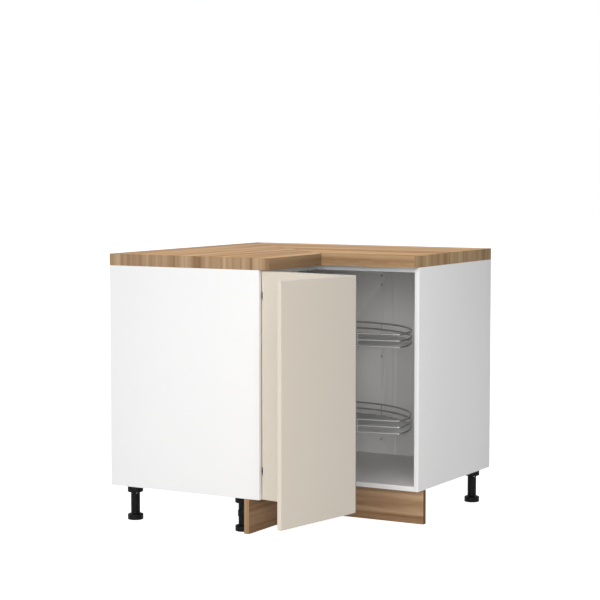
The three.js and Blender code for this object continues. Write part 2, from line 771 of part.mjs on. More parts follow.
/** A strip of the continuous hinge at the fold with every second knuckle, drawn about the fold axis. */
function foldStrip(side) {
  const length = leafTop - leafBottom - 2 * foldEndMargin;
  const foot = leafBottom + foldEndMargin;
  const pitch = length / knuckleCount;
  const offset = [foldPlateGap, foldPlateGap + foldPlate];
  const bore = foldPinRadius + foldPinClearance;
  const clear = knuckleRadius + knuckleGap;
  const wall = (from, to, z0, z1) => block([from, to], offset, [z0, z1]).rotateZ(-Math.PI / 4);
  const parts = [wall(clear, foldPlateReach, foot, foot + length)];
  for (let i = side === 'left' ? 0 : 1; i < knuckleCount; i += 2) {
    const z0 = foot + i * pitch + knuckleGap / 2;
    const z1 = foot + (i + 1) * pitch - knuckleGap / 2;
    parts.push(ring(0, knuckleRadius, [z0, z1], 10), wall(bore, clear + foldPlate, z0, z1));
  }
  const hole = ring(0, bore, [foot - cutPast, foot + length + cutPast], 10);
  const strip = cut(join(...parts), hole);
  if (side === 'right') return strip;
  strip.applyMatrix4(diagonalMirror);
  flipFaces(strip);
  return strip;
}

function door() {
  const swing = new THREE.Group();
  swing.position.set(hingeAxis.x, hingeAxis.y, 0);
  swing.rotation.z = doorTurn;
  const fold = new THREE.Group();
  const foldPlace = foldAxis.clone().sub(hingeAxis);
  fold.position.set(foldPlace.x, foldPlace.y, 0);

  const outline = leafOutline();
  const pockets = Object.values(hingeHeights).flatMap(cupPocket);
  const leftLeaf = cut(prism(outline.map(fromFold), leafBottom, leafTop), ...pockets);
  leftLeaf.translate(-hingeAxis.x, -hingeAxis.y, 0);
  const rightLeaf = prism(outline.map(swapLeaves).map(fromFold), leafBottom, leafTop);
  rightLeaf.translate(-foldAxis.x, -foldAxis.y, 0);
  swing.add(piece('door_leaf_left', leftLeaf, leafLacquer));
  fold.add(piece('door_leaf_right', rightLeaf, leafLacquer));

  for (const [name, height] of Object.entries(hingeHeights)) {
    const cup = piece(`hinge_${name}_cup`, hingeCup(), hingeSteel);
    cup.position.z = height;
    swing.add(cup);
  }

  const stripLeft = piece('fold_hinge_left', foldStrip('left'), hingeSteel);
  const stripRight = piece('fold_hinge_right', foldStrip('right'), hingeSteel);
  const pinLevel = [leafBottom + foldEndMargin, leafTop - foldEndMargin];
  const pin = piece('fold_hinge_pin', ring(0, foldPinRadius, pinLevel, 12), hingeSteel);
  stripLeft.position.copy(fold.position);
  pin.position.copy(fold.position);
  fold.add(stripRight);
  swing.add(stripLeft, pin, fold);
  return swing;
}

/** The hinge parts that stay on the end panel. */
function hingeMounts() {
  return Object.entries(hingeHeights).map(([name, height]) => {
    const mount = new THREE.Group();
    mount.position.set(hingeAxis.x, hingeAxis.y, height);
    mount.add(piece(`hinge_${name}_arm`, hingeArm(), hingeSteel));
    mount.add(piece(`hinge_${name}_plate`, hingePlate(), hingeSteel));
    return mount;
  });
}

// ---------- the cabinet ----------

const cabinet = new THREE.Group();
cabinet.name = 'corner_carousel_cabinet';
cabinet.position.copy(origin).negate();
cabinet.add(...endPanels(), bottomPanel(), ...topRails(), ...back(), ...worktop());
cabinet.add(...legs(), ...plinth(), ...plinthClips());
cabinet.add(carousel(), ...hingeMounts(), door());

const part = new THREE.Group();
part.add(cabinet);

export default part;
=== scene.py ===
import json
import math
import bmesh
import bpy
from mathutils import Matrix, Vector


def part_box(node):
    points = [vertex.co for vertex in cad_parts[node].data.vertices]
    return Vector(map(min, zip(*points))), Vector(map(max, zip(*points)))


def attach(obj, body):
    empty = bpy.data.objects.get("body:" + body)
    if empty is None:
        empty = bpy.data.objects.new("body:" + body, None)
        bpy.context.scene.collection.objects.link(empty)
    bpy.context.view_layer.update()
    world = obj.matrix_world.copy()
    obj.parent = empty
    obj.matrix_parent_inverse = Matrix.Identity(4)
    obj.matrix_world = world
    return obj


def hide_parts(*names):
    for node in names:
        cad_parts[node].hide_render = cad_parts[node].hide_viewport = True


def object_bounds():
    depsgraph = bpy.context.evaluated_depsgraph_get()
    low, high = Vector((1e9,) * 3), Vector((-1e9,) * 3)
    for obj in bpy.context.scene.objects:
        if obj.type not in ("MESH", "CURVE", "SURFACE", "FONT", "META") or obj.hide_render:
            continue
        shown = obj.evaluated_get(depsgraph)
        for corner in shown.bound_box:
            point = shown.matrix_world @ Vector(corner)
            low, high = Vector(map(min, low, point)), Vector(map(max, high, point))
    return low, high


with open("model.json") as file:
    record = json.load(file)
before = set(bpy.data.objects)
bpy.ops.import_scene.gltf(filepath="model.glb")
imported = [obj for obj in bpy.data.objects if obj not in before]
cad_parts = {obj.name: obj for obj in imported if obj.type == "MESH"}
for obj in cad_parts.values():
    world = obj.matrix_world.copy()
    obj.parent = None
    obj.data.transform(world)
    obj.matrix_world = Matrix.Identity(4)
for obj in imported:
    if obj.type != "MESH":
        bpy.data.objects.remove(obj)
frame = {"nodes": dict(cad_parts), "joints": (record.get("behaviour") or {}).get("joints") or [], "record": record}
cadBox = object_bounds()
mm = 0.001
sharpAngle = math.radians(40)  # edges that turn more than this are softened
creases = {"shape": 35, "hinge": 30, "board": 50}  # degrees past which the shading shows an edge
upright = Matrix()
zToX = Matrix.Rotation(math.pi / 2, 4, "Y")
joints = {joint["name"]: joint for joint in frame["joints"]}
slots = {part["node"]: part["material_slot"] for part in frame["record"]["subparts"]}
wallCorner = Vector((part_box("worktop_left")[0][0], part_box("worktop_right")[1][1], 0))


def centreOf(node):
    low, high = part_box(node)
    return (Vector(low) + Vector(high)) / 2


def inMm(node):  # a node's box, in millimetres from the wall corner
    low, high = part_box(node)
    return [(Vector(corner) - wallCorner) / mm for corner in (low, high)]


def bodyHolding(node):
    bodies = frame["record"]["behaviour"]["bodies"]
    return next(name for name, members in bodies.items() if node in members)


print("frame loaded", [round(v, 3) for v in cadBox[0]], [round(v, 3) for v in cadBox[1]])


class Value:  # a socket that takes part in sums
    def __init__(self, nodes, socket):
        self.nodes, self.socket = nodes, socket

    def math(self, operation, *others, swap=False):
        values = [self, *others]
        if swap:
            values.reverse()
        return self.nodes.add("ShaderNodeMath", {"operation": operation}, dict(enumerate(values)))["Value"]

    def __add__(self, other): return self.math("ADD", other)
    def __radd__(self, other): return self.math("ADD", other)
    def __sub__(self, other): return self.math("SUBTRACT", other)
    def __rsub__(self, other): return self.math("SUBTRACT", other, swap=True)
    def __mul__(self, other): return self.math("MULTIPLY", other)
    def __rmul__(self, other): return self.math("MULTIPLY", other)
    def __truediv__(self, other): return self.math("DIVIDE", other)
    def __abs__(self): return self.math("ABSOLUTE")


class Made:  # a node, whose outputs are read by name
    def __init__(self, nodes, node):
        self.nodes, self.node = nodes, node

    def __getitem__(self, name):
        live = [out for out in self.node.outputs if out.name == name and out.enabled]
        return Value(self.nodes, live[0])


class Nodes:
    def __init__(self, tree):
        self.tree = tree

    def add(self, kind, settings=None, inputs=None):
        node = self.tree.nodes.new(kind)
        for name, value in (settings or {}).items():
            if name == "stops":
                ramp = node.color_ramp
                while len(ramp.elements) < len(value):
                    ramp.elements.new(0.5)
                for element, (place, colour) in zip(ramp.elements, value):
                    element.position, element.color = place, (*colour, 1.0)
            else:
                setattr(node, name, value)
        for key, value in (inputs or {}).items():
            if isinstance(key, int):
                socket = node.inputs[key]
            else:
                socket = [s for s in node.inputs if s.name == key and s.enabled][0]
            if isinstance(value, Value):
                self.tree.links.new(value.socket, socket)
            else:
                socket.default_value = value
        return Made(self, node)


def srgb(red, green, blue):
    def linear(c):
        c /= 255
        return c / 12.92 if c <= 0.04045 else ((c + 0.055) / 1.055) ** 2.4
    return (linear(red), linear(green), linear(blue))


def startMaterial(name):
    material = bpy.data.materials.new(name)
    material.use_nodes = True
    nodes = Nodes(material.node_tree)
    return material, nodes, material.node_tree.nodes["Principled BSDF"], nodes.add("ShaderNodeTexCoord")


def feed(nodes, surface, name, value):
    nodes.tree.links.new(value.socket, surface.inputs[name])


def bump(nodes, height, strength, distance):
    inputs = {"Height": height, "Strength": strength, "Distance": distance}
    return nodes.add("ShaderNodeBump", {}, inputs)["Normal"]


def noise(nodes, vector, scale, detail=2.0):
    return nodes.add("ShaderNodeTexNoise", {}, {"Vector": vector, "Scale": scale, "Detail": detail})["Fac"]


def blended(nodes, factor, first, second):
    colours = {"Factor": factor}
    for side, colour in (("A", first), ("B", second)):
        colours[side] = colour if isinstance(colour, Value) else (*colour, 1)
    return nodes.add("ShaderNodeMix", {"data_type": "RGBA"}, colours)["Result"]


oakLook = {  # widths are in metres across the grain, and a stretch is how far a streak runs along it
    "dark": srgb(140, 103, 68), "middle": srgb(186, 148, 106), "light": srgb(212, 178, 135),
    "backing": srgb(176, 158, 134), "stops": {"dark": 0.30, "middle": 0.50, "light": 0.70}, "drop": 0.09,
    "bands": {"width": 0.052, "stretch": 1.6, "detail": 2.0, "start": 0.0, "weight": 0.78},
    "stripes": {"width": 0.0125, "stretch": 0.7, "detail": 3.0, "start": 7.0, "weight": 0.4},
    "pores": {"width": 0.0015, "stretch": 0.05, "detail": 2.0, "start": 13.0, "weight": 0.22},
    "roughness": 0.6, "swing": 0.2, "sheen": 0.05, "relief": 0.25, "depth": 0.0002,
    "square": 0.7,  # the part of a normal past which its face counts as one of an axis
}
oakPaintedLight = {  # painted light and shade: red, green and blue of each kind of face, against the colours above; the tops are painted lighter, the sides and ends darker with a painted sheen on the sides, and each part as dark as the shade it stands in
    "right wing": {"top": (1.44, 1.37, 1.28), "side": (0.93, 1.00, 1.12), "end": (0.82, 0.89, 0.97)},
    "left wing": {"top": (1.44, 1.37, 1.28), "side": (0.57, 0.56, 0.58), "end": (0.78, 0.85, 1.01)},
    "right plinth": {"top": (0.80, 0.80, 0.80), "side": (0.82, 0.87, 1.03), "end": (0.60, 0.60, 0.60)},
    "left plinth": {"top": (0.80, 0.80, 0.80), "side": (0.60, 0.61, 0.71), "end": (0.75, 0.77, 0.86)},
}


# Each part gets its own copy of the laminate, with its own painted light and shade on the top, sides and ends.
def oakLaminate(part, grain, shift):  # grain is the axis that the wood runs along
    oak, paintedLight = oakLook, oakPaintedLight[part]
    material, nodes, surface, place = startMaterial("oak laminate, " + part)
    surface.inputs["Specular IOR Level"].default_value = oak["sheen"]
    xyz = nodes.add("ShaderNodeSeparateXYZ", {}, {0: place["Object"]})
    facing = nodes.add("ShaderNodeSeparateXYZ", {}, {0: place["Normal"]})
    along, across = (xyz["X"], xyz["Y"]) if grain == "X" else (xyz["Y"], xyz["X"])
    endFace = abs(facing[grain]).math("GREATER_THAN", oak["square"])
    # the top faces are picked out to be painted lighter, as if lit from above
    topFace = facing["Z"].math("GREATER_THAN", oak["square"])
    underside = (facing["Z"] * -1).math("GREATER_THAN", oak["square"])
    up = xyz["Z"] * (1 - endFace)  # the end faces keep one line from top to bottom

    def streaks(kind):
        s = oak[kind]
        sides = {"X": along / s["stretch"] + (s["start"] + shift),
                 "Y": across / s["width"], "Z": up / s["width"]}
        return noise(nodes, nodes.add("ShaderNodeCombineXYZ", {}, sides)["Vector"], 1.0, s["detail"])

    bands, stripes, pores = streaks("bands"), streaks("stripes"), streaks("pores")
    grainTone = bands * oak["bands"]["weight"] + stripes * oak["stripes"]["weight"] - oak["drop"]
    grainTone += (pores - 0.5) * oak["pores"]["weight"]

    # the grain's colours times the painted light or shade of this kind of face
    def wood(face):
        stops = [(stop, [c * t for c, t in zip(oak[shade], paintedLight[face])])
                 for shade, stop in oak["stops"].items()]
        return nodes.add("ShaderNodeValToRGB", {"stops": stops}, {0: grainTone})["Color"]

    colour = blended(nodes, endFace, wood("side"), wood("end"))
    colour = blended(nodes, topFace, colour, wood("top"))
    feed(nodes, surface, "Base Color", blended(nodes, underside, colour, oak["backing"]))
    feed(nodes, surface, "Roughness", (pores - 0.5) * oak["swing"] + oak["roughness"])
    feed(nodes, surface, "Normal", bump(nodes, pores, oak["relief"], oak["depth"]))
    return material


finishes = {  # shade is the darkest share of the colour, swing the roughness's, relief and depth the bump's
    "melamine": {"grain": 1100, "detail": 3, "cloud": 3, "shade": 0.975,
                 "swing": 0.16, "relief": 0.12, "depth": 0.0001},
    "lacquer": {"grain": 420, "detail": 2, "cloud": 2.2, "shade": 0.98,
                "swing": 0.1, "relief": 0.08, "depth": 0.0002},
    "plated": {"grain": 160, "detail": 3, "cloud": 0, "shade": 0.93,
               "swing": 0.14, "relief": 0.05, "depth": 0.0001},
    "plastic": {"grain": 900, "detail": 2, "cloud": 0, "shade": 0.92,
                "swing": 0.18, "relief": 0.15, "depth": 0.0001},
}


def coated(name, finish, colour, roughness, metal=0.0, shine=0.5):
    f = finishes[finish]
    colour = srgb(*colour)
    material, nodes, surface, place = startMaterial(name)
    surface.inputs["Metallic"].default_value = metal
    surface.inputs["Specular IOR Level"].default_value = shine
    grain = noise(nodes, place["Object"], f["grain"], f["detail"])
    cloud = noise(nodes, place["Object"], f["cloud"]) if f["cloud"] else grain
    feed(nodes, surface, "Base Color", blended(nodes, cloud, [c * f["shade"] for c in colour], colour))
    feed(nodes, surface, "Roughness", (grain - 0.5) * f["swing"] + roughness)
    feed(nodes, surface, "Normal", bump(nodes, grain, f["relief"], f["depth"]))
    return material


looks = {
    # the four oak looks are one laminate in four different painted lights and shades
    "oakRight": oakLaminate("right wing", "X", 0.0),
    "oakLeft": oakLaminate("left wing", "Y", 4.3),
    "plinthRight": oakLaminate("right plinth", "X", 9.1),
    "plinthLeft": oakLaminate("left plinth", "Y", 2.7),
    "whiteBoard": coated("white melamine", "melamine", (240, 240, 240), 0.42),
    "greyBoard": coated("inner melamine", "melamine", (242, 241, 240), 0.5),
    "leaf": coated("cream lacquer", "lacquer", (222, 212, 197), 0.38),
    "wire": coated("bright wire", "plated", (200, 201, 202), 0.42, metal=0.7),
    "steel": coated("nickel-plated steel", "plated", (190, 190, 192), 0.32, metal=1.0),
    # the fold hinge is painted the dark grey of the shaded inside behind it, not the colour of its metal
    "foldSteel": coated("fold hinge in painted shade", "plated", (112, 110, 107), 0.5, metal=0.5),
    "black": coated("black plastic", "plastic", (4, 4, 5), 0.5, shine=0.12),
    "grey": coated("grey plastic", "plastic", (150, 151, 152), 0.45),
    "joiner": coated("joiner plastic", "plastic", (254, 254, 253), 0.22, shine=1.0),
    "cap": coated("hole caps", "plastic", (205, 204, 202), 0.5),
    # the front rails are white melamine painted a blue-grey shade, for the shadow under the worktop's overhang
    "rail": coated("front rail melamine in painted shade", "melamine", (205, 209, 213), 0.45),
    "bottomBoard": coated("bottom melamine", "melamine", (236, 235, 234), 0.5),
    # the back end boards are painted lighter than the other inner boards, to cancel the shade that falls on the
    # back wall's ends
    "backEnd": coated("back end melamine, painted lighter", "melamine", (250, 249, 248), 0.5),
}
print("materials made", len(looks))


def addObject(name, mesh, material):
    piece = bpy.data.objects.new(name, mesh)
    bpy.context.scene.collection.objects.link(piece)
    mesh.materials.clear()
    mesh.materials.append(material)
    return piece


def smooth(mesh, angle):
    mesh.polygons.foreach_set("use_smooth", [True] * len(mesh.polygons))
    mesh.set_sharp_from_angle(angle=math.radians(angle))


def applied(piece):  # the modifiers' result becomes the piece's own mesh
    graph = bpy.context.evaluated_depsgraph_get()
    graph.update()
    mesh = bpy.data.meshes.new_from_object(piece.evaluated_get(graph))
    piece.modifiers.clear()
    old = piece.data
    piece.data = mesh
    if old.users == 0:
        bpy.data.meshes.remove(old)
    return mesh


def seat(piece, body, slot, *nodes):
    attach(piece, body)
    if nodes:
        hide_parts(*nodes)


def drawn(name, look, mesh, place, turn, kind="shape"):  # brings a mesh from millimetres to its place
    mesh.transform(Matrix.Translation(place) @ turn @ Matrix.Scale(mm, 4))
    smooth(mesh, creases[kind])
    return addObject(name, mesh, looks[look])


def standIn(name, look, mesh, place, turn, node, kind="shape"):
    seat(drawn(name, look, mesh, place, turn, kind), bodyHolding(node), slots[node], node)


def detail(name, look, mesh, body, slot, place=wallCorner, turn=upright):
    seat(drawn(name, look, mesh, place, turn), body, slot)


# The shapes below are drawn in millimetres.

def roundedPath(corners, steps=4):  # corners are (x, y, radius) of a closed outline
    points = []
    for i, (x, y, radius) in enumerate(corners):
        here = Vector((x, y))
        if radius == 0:
            points.append(here)
            continue
        incoming = (here - Vector(corners[i - 1][:2])).normalized()
        outgoing = (Vector(corners[(i + 1) % len(corners)][:2]) - here).normalized()
        turn = math.atan2(incoming.x * outgoing.y - incoming.y * outgoing.x, incoming.dot(outgoing))
        start = here - incoming * radius * abs(math.tan(turn / 2))
        centre = start + Vector((-incoming.y, incoming.x)) * math.copysign(radius, turn)
        arm = start - centre
        for k in range(steps + 1):
            c, s = math.cos(turn * k / steps), math.sin(turn * k / steps)
            points.append(centre + Vector((arm.x * c - arm.y * s, arm.x * s + arm.y * c)))
    return points


def arcPoints(radius, start, end, steps):  # corners of an outline, without rounding
    angles = [start + (end - start) * k / steps for k in range(steps + 1)]
    return [(radius * math.cos(angle), radius * math.sin(angle), 0) for angle in angles]


def fourRound(radius, level):  # four points on the diagonals
    angles = [math.pi / 4 + k * math.pi / 2 for k in range(4)]
    return [Vector((radius * math.cos(angle), radius * math.sin(angle), level)) for angle in angles]


def meshFrom(name, bm):
    bmesh.ops.remove_doubles(bm, verts=bm.verts, dist=1e-4)
    bmesh.ops.recalc_face_normals(bm, faces=bm.faces)
    mesh = bpy.data.meshes.new(name)
    bm.to_mesh(mesh)
    bm.free()
    return mesh


def revolved(name, corners, sides=48, turn=upright, place=(0, 0, 0)):  # corners are (radius, height, rounding)
    outline = roundedPath(corners)
    bm = bmesh.new()
    rings = []
    for k in range(sides):
        c, s = math.cos(2 * math.pi * k / sides), math.sin(2 * math.pi * k / sides)
        rings.append([bm.verts.new((r * c, r * s, z)) for r, z in outline])
    for k in range(sides):
        here, ahead = rings[k], rings[(k + 1) % sides]
        for i in range(len(outline)):
            j = (i + 1) % len(outline)
            if max(outline[i][0], outline[j][0]) > 1e-6:
                bm.faces.new((here[i], ahead[i], ahead[j], here[j]))
    mesh = meshFrom(name, bm)
    mesh.transform(Matrix.Translation(place) @ turn)
    return mesh


def extruded(name, outline, low, high, edge):  # an upright prism with softened edges
    bm = bmesh.new()
    base = bm.faces.new([bm.verts.new((x, y, low)) for x, y in outline])
    raised = bmesh.ops.extrude_face_region(bm, geom=[base])["geom"]
    for item in raised:
        if isinstance(item, bmesh.types.BMVert):
            item.co.z = high
    bmesh.ops.recalc_face_normals(bm, faces=bm.faces)
    if edge:
        edges = [e for e in bm.edges if e.calc_face_angle(0) > sharpAngle]
        bmesh.ops.bevel(bm, geom=edges, offset=edge, segments=2, affect="EDGES", profile=0.5,
                        clamp_overlap=True)
    return meshFrom(name, bm)


def cuboid(name, xs, ys, zs, edge):
    return extruded(name, [(xs[0], ys[0]), (xs[1], ys[0]), (xs[1], ys[1]), (xs[0], ys[1])], *zs, edge)


def joined(name, *meshes):
    bm = bmesh.new()
    for mesh in meshes:
        bm.from_mesh(mesh)
    whole = bpy.data.meshes.new(name)
    bm.to_mesh(whole)
    bm.free()
    return whole


def carved(mesh, cutter):
    piece, tool = addObject("carving", mesh, looks["steel"]), addObject("cutter", cutter, looks["steel"])
    cut = piece.modifiers.new("cut", "BOOLEAN")
    cut.object, cut.operation, cut.solver = tool, "DIFFERENCE", "EXACT"
    result = applied(piece)
    for used in (piece, tool):
        bpy.data.objects.remove(used)
    return result


class Tree:  # a node tree whose sizes are named inputs of the modifier
    def __init__(self, name, **sizes):
        self.group = bpy.data.node_groups.new(name, "GeometryNodeTree")
        sockets = self.group.interface
        sockets.new_socket("Geometry", in_out="INPUT", socket_type="NodeSocketGeometry")
        for size, kind in sizes.items():
            sockets.new_socket(size, in_out="INPUT", socket_type="NodeSocket" + kind)
        sockets.new_socket("Material", in_out="INPUT", socket_type="NodeSocketMaterial")
        sockets.new_socket("Geometry", in_out="OUTPUT", socket_type="NodeSocketGeometry")
        self.nodes = Nodes(self.group)
        self.inputs = self.nodes.add("NodeGroupInput")

    def __getitem__(self, name):
        return self.inputs[name]

    def add(self, kind, settings=None, **inputs):
        named = {name.replace("_", " "): value for name, value in inputs.items()}
        return self.nodes.add("GeometryNode" + kind, settings, named)

    def vector(self, x=0.0, y=0.0, z=0.0):
        return self.nodes.add("ShaderNodeCombineXYZ", {}, {"X": x, "Y": y, "Z": z})["Vector"]

    def moved(self, geometry, x=0.0, y=0.0, z=0.0):
        return self.add("Transform", Geometry=geometry, Translation=self.vector(x, y, z))["Geometry"]

    def close(self, geometry):
        real = self.add("RealizeInstances", Geometry=geometry)["Geometry"]
        painted = self.add("SetMaterial", Geometry=real, Material=self["Material"])["Geometry"]
        self.nodes.add("NodeGroupOutput", {}, {"Geometry": painted})


def grown(tree, mesh, look, **sizes):
    piece = addObject("growing", mesh, looks[look])
    modifier = piece.modifiers.new("grow", "NODES")
    modifier.node_group = tree.group
    for item in tree.group.interface.items_tree:
        if item.in_out == "INPUT" and item.name in sizes:
            kind = int if item.socket_type == "NodeSocketInt" else float
            modifier[item.identifier] = kind(sizes[item.name])
        elif item.name == "Material":
            modifier[item.identifier] = looks[look]
    bm = bmesh.new()
    bm.from_mesh(applied(piece))
    bpy.data.objects.remove(piece)
    return meshFrom("grown", bm)


def pointsMesh(points, edges=(), facing=None):
    mesh = bpy.data.meshes.new("points")
    mesh.from_pydata(points, edges, [])
    if facing:
        attribute = mesh.attributes.new("facing", "FLOAT_VECTOR", "POINT")
        for item, direction in zip(attribute.data, facing):
            item.vector = direction
    return mesh


wireTree = Tree("wire along a path", Radius="Float", Sides="Int")
wirePath = wireTree.add("MeshToCurve", Mesh=wireTree["Geometry"])["Curve"]
wireSection = wireTree.add("CurvePrimitiveCircle", Resolution=wireTree["Sides"],
                           Radius=wireTree["Radius"])["Curve"]
wireTree.close(wireTree.add("CurveToMesh", Curve=wirePath, Profile_Curve=wireSection, Fill_Caps=True)["Mesh"])

postTree = Tree("upright wires", Radius="Float", Height="Float")
postWire = postTree.add("MeshCylinder", Vertices=12, Radius=postTree["Radius"],
                        Depth=postTree["Height"])["Mesh"]
postRaised = postTree.moved(postWire, z=postTree["Height"] * 0.5)
postTree.close(postTree.add("InstanceOnPoints", Points=postTree["Geometry"], Instance=postRaised)["Instances"])

floorTree = Tree("floor wires cut to a three-quarter ring", Ring="Float", Notch="Float", Pitch="Float",
                 Wire="Float", Level="Float", Count="Int")
rowStart = floorTree.vector(y=(floorTree["Count"] - 1) * floorTree["Pitch"] * -0.5)
rows = floorTree.add("MeshLine", Count=floorTree["Count"], Start_Location=rowStart,
                     Offset=floorTree.vector(y=floorTree["Pitch"]))["Mesh"]
rowPlace = floorTree.add("InputPosition")["Position"]
rowY = floorTree.nodes.add("ShaderNodeSeparateXYZ", {}, {0: rowPlace})["Y"]
rowHalf = (floorTree["Ring"] * floorTree["Ring"] - rowY * rowY).math("SQRT")
rowCut = (rowY + floorTree["Notch"]).math("LESS_THAN", 0.0)  # 1 where a wire ends at the notch
rowEnd = rowHalf + rowCut * (floorTree["Notch"] - rowHalf)
rowMiddle = floorTree.vector((rowEnd - rowHalf) * 0.5, rowY, floorTree["Level"])
rowsPlaced = floorTree.add("SetPosition", Geometry=rows, Position=rowMiddle)["Geometry"]
rowWire = floorTree.add("MeshCylinder", Vertices=10, Radius=floorTree["Wire"], Depth=1.0)["Mesh"]
rowLaid = floorTree.add("Transform", Geometry=rowWire, Rotation=(0, math.pi / 2, 0))["Geometry"]
floorTree.close(floorTree.add("InstanceOnPoints", Points=rowsPlaced, Instance=rowLaid,
                              Scale=floorTree.vector(rowEnd + rowHalf, 1.0, 1.0))["Instances"])

screwShape = {"sides": 20, "taper": 0.78, "cross": 1.1, "slot": 0.26, "depth": 0.6}  # shares of radius and height
screwTree = Tree("screw heads", Radius="Float", Height="Float", Slot="Float", Depth="Float")
headTop = screwTree["Radius"] * screwShape["taper"]
headShape = screwTree.add("MeshCone", Vertices=screwShape["sides"], Radius_Top=headTop,
                          Radius_Bottom=screwTree["Radius"], Depth=screwTree["Height"])["Mesh"]
crossLength = screwTree["Radius"] * screwShape["cross"]
crossHeight = screwTree["Depth"] * 2
for crossSize in ((crossLength, screwTree["Slot"]), (screwTree["Slot"], crossLength)):
    crossBar = screwTree.add("MeshCube", Size=screwTree.vector(*crossSize, crossHeight))["Mesh"]
    crossBar = screwTree.moved(crossBar, z=screwTree["Height"])
    headShape = screwTree.nodes.add("GeometryNodeMeshBoolean", {"operation": "DIFFERENCE"},
                                    {"Mesh 1": headShape, "Mesh 2": crossBar})["Mesh"]
headFacing = screwTree.nodes.add("GeometryNodeInputNamedAttribute", {"data_type": "FLOAT_VECTOR"},
                                 {"Name": "facing"})["Attribute"]
headTurn = screwTree.nodes.add("FunctionNodeAlignRotationToVector", {"axis": "Z"},
                               {"Vector": headFacing})["Rotation"]
screwTree.close(screwTree.add("InstanceOnPoints", Points=screwTree["Geometry"], Instance=headShape,
                              Rotation=headTurn)["Instances"])

knuckleTree = Tree("hinge knuckles", Radius="Float", Length="Float", Pitch="Float", Count="Int",
                   Reach="Float", Wall="Float", Gap="Float")
webStart = 0.6  # share of a knuckle's radius
knuckleRow = knuckleTree.add("MeshLine", Count=knuckleTree["Count"],
                             Offset=knuckleTree.vector(z=knuckleTree["Pitch"]))
knuckleTube = knuckleTree.add("MeshCylinder", Vertices=16, Radius=knuckleTree["Radius"],
                              Depth=knuckleTree["Length"])
knuckleWeb = knuckleTree.add("MeshCube", Size=knuckleTree.vector(
    knuckleTree["Reach"], knuckleTree["Wall"], knuckleTree["Length"]))["Mesh"]
knuckleWeb = knuckleTree.moved(knuckleWeb, knuckleTree["Radius"] * webStart + knuckleTree["Reach"] * 0.5,
                               knuckleTree["Gap"] + knuckleTree["Wall"] * 0.5)
knuckleJoin = knuckleTree.add("JoinGeometry")
for knucklePart in (knuckleTube["Mesh"], knuckleWeb):
    copies = knuckleTree.add("InstanceOnPoints", Points=knuckleRow["Mesh"], Instance=knucklePart)["Instances"]
    knuckleTree.group.links.new(copies.socket, knuckleJoin.node.inputs[0])
knuckleTree.close(knuckleJoin["Geometry"])


def screws(places, radius, height):  # places are (position, facing)
    mesh = pointsMesh([p for p, _ in places], facing=[f for _, f in places])
    return grown(screwTree, mesh, "steel", Radius=radius, Height=height, Slot=radius * screwShape["slot"],
                 Depth=height * screwShape["depth"])


print("node trees made", len(bpy.data.node_groups))

boards = {  # by look: the radius of the edges, then that of the short and of the upright ones where they differ
    "whiteBoard": {"edges": [0.5], "nodes": ["end_panel_left", "end_panel_right"]},
    "rail": {"edges": [0.5], "nodes": ["front_rail_left", "front_rail_right"]},
    "bottomBoard": {"edges": [0.4], "nodes": ["bottom_panel"]},
    "greyBoard": {"edges": [0.4], "nodes": ["back_rail_left", "back_rail_right", "pole_beam", "corner_post",
                                            "back_board_right_corner", "back_board_left_corner"]},
    "backEnd": {"edges": [0.4], "nodes": ["back_board_right_end", "back_board_left_end"]},
    "oakLeft": {"edges": [0.5], "nodes": ["worktop_left"]},
    "oakRight": {"edges": [0.5], "nodes": ["worktop_right"]},
    "plinthLeft": {"edges": [0.5], "nodes": ["plinth_left"]},
    "plinthRight": {"edges": [0.5], "nodes": ["plinth_right"]},
    "leaf": {"edges": [2.4, 0.3, 0.8], "nodes": ["door_leaf_left", "door_leaf_right"]},
    "joiner": {"edges": [0.2], "nodes": ["back_joiner_left", "back_joiner_right"]},
}
longEdge = 0.15  # metres
plumb = 0.9  # an edge stands upright where this share of its run is vertical


def softened(node, look, radius, fine=None, standing=None):
    bm = bmesh.new()
    bm.from_mesh(frame["nodes"][node].data)
    bmesh.ops.remove_doubles(bm, verts=bm.verts, dist=1e-6)
    bmesh.ops.dissolve_limit(bm, angle_limit=math.radians(1), verts=bm.verts, edges=bm.edges)
    weight = bm.edges.layers.float.new("bevel_weight_edge")
    for edge in bm.edges:
        if edge.calc_face_angle(0) > sharpAngle:
            run = (edge.verts[1].co - edge.verts[0].co).normalized()
            if fine and edge.calc_length() < longEdge:
                edge[weight] = fine / radius
            else:
                edge[weight] = standing / radius if standing and abs(run.z) > plumb else 1
    mesh = bpy.data.meshes.new(node)
    bm.to_mesh(mesh)
    bm.free()
    piece = addObject(node + "_board", mesh, looks[look])
    bevel = piece.modifiers.new("edges", "BEVEL")
    bevel.width, bevel.segments, bevel.limit_method = radius * mm, 4 if fine else 2, "WEIGHT"
    bevel.use_clamp_overlap = True
    smooth(applied(piece), creases["board"])
    seat(piece, bodyHolding(node), slots[node], node)


for look, board in boards.items():
    for node in board["nodes"]:
        softened(node, look, *board["edges"])
print("boards made")

cap = {"radius": 5, "rise": 0.8, "round": 0.5, "sides": 24, "setback": 521, "heights": [180, 476, 732, 764]}
capOutline = [(0, 0, 0), (cap["radius"], 0, 0), (cap["radius"], cap["rise"], cap["round"]), (0, cap["rise"], 0)]
backFace = inMm("back_board_right_corner")[0].y
outOfWall = Matrix.Rotation(math.pi / 2, 4, "X")
capHeads = [revolved("cap", capOutline, cap["sides"], outOfWall, (cap["setback"], backFace, height))
            for height in cap["heights"]]
detail("back_board_caps", "cap", joined("caps", *capHeads), "cabinet", "grey_plastic")

